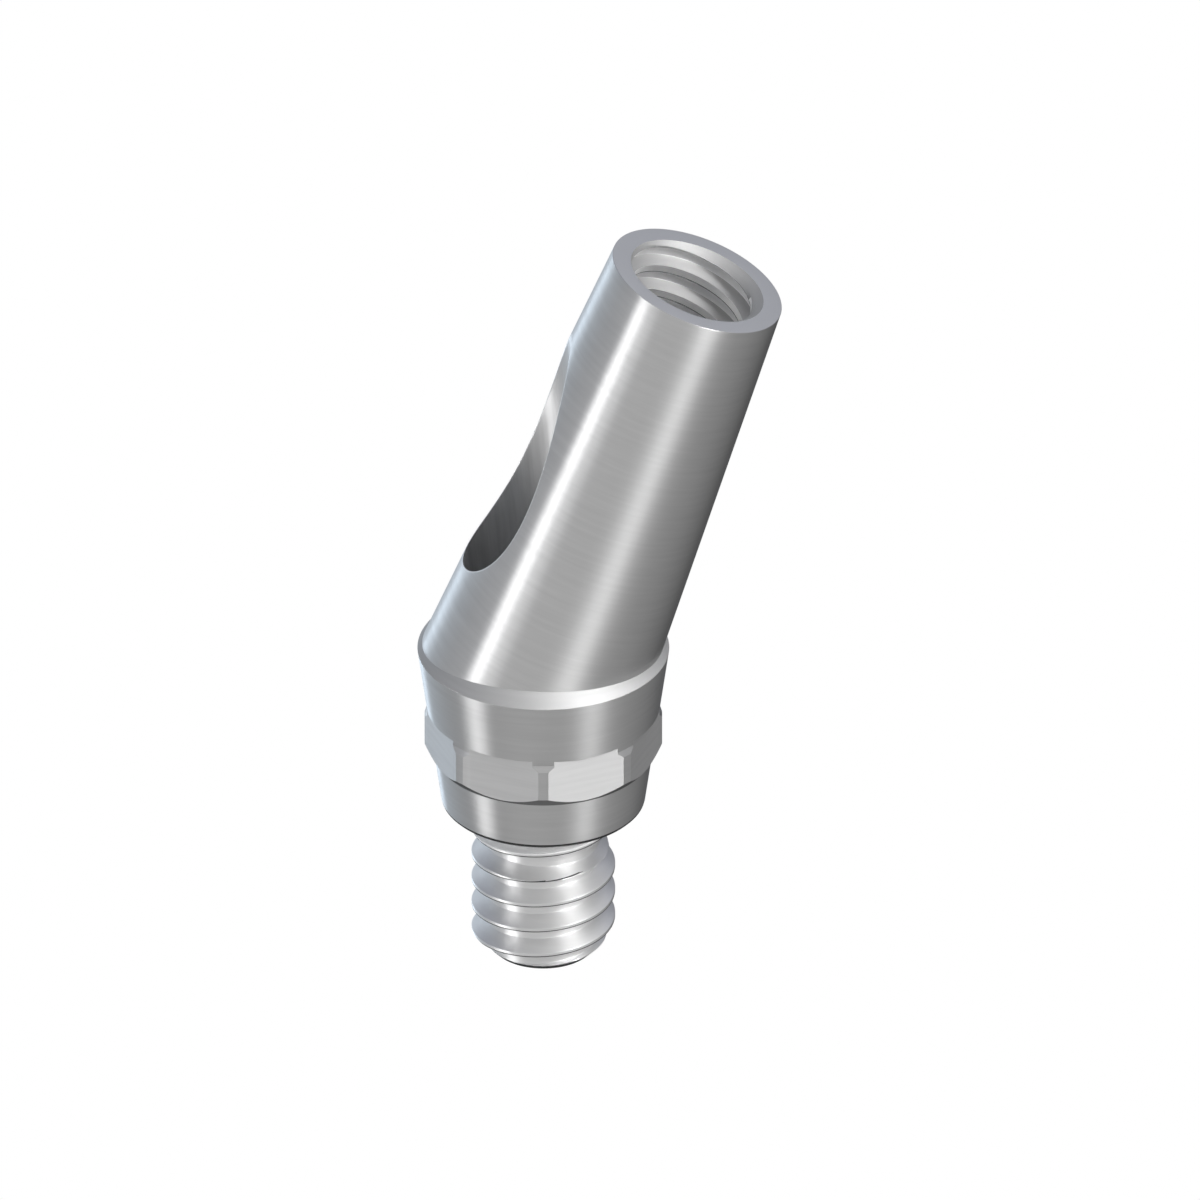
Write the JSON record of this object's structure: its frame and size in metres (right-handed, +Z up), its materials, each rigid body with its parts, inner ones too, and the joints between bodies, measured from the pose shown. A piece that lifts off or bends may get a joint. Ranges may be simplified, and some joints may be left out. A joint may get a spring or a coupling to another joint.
{
  "type": "dental abutment",
  "caption": "Angled dental abutment: a leaning conical post with a tapped top and a side driver channel, on an octagonal taper seat with a captive screw.",
  "frame": {"origin": "centre of the shoulder's widest circle, on the implant axis", "axes": "+Z up along the implant axis, +X the side that the post leans to, -X the side that the driver channel opens on"},
  "size_m": [0.0051, 0.0034, 0.011],
  "materials": {
    "abutment_body": "satin turned titanium alloy",
    "abutment_screw": "satin titanium alloy, turned and thread-cut"
  },
  "bodies": {
    "abutment": {"abutment_body": "abutment_body"},
    "screw": {"abutment_screw": "abutment_screw"}
  },
  "joints": [
    {"name": "screw_turn", "type": "hinge", "parent": "abutment", "child": "screw", "pos_m": [0, 0, -0.0013], "axis": [0, 0, 1], "continuous": true}
  ]
}
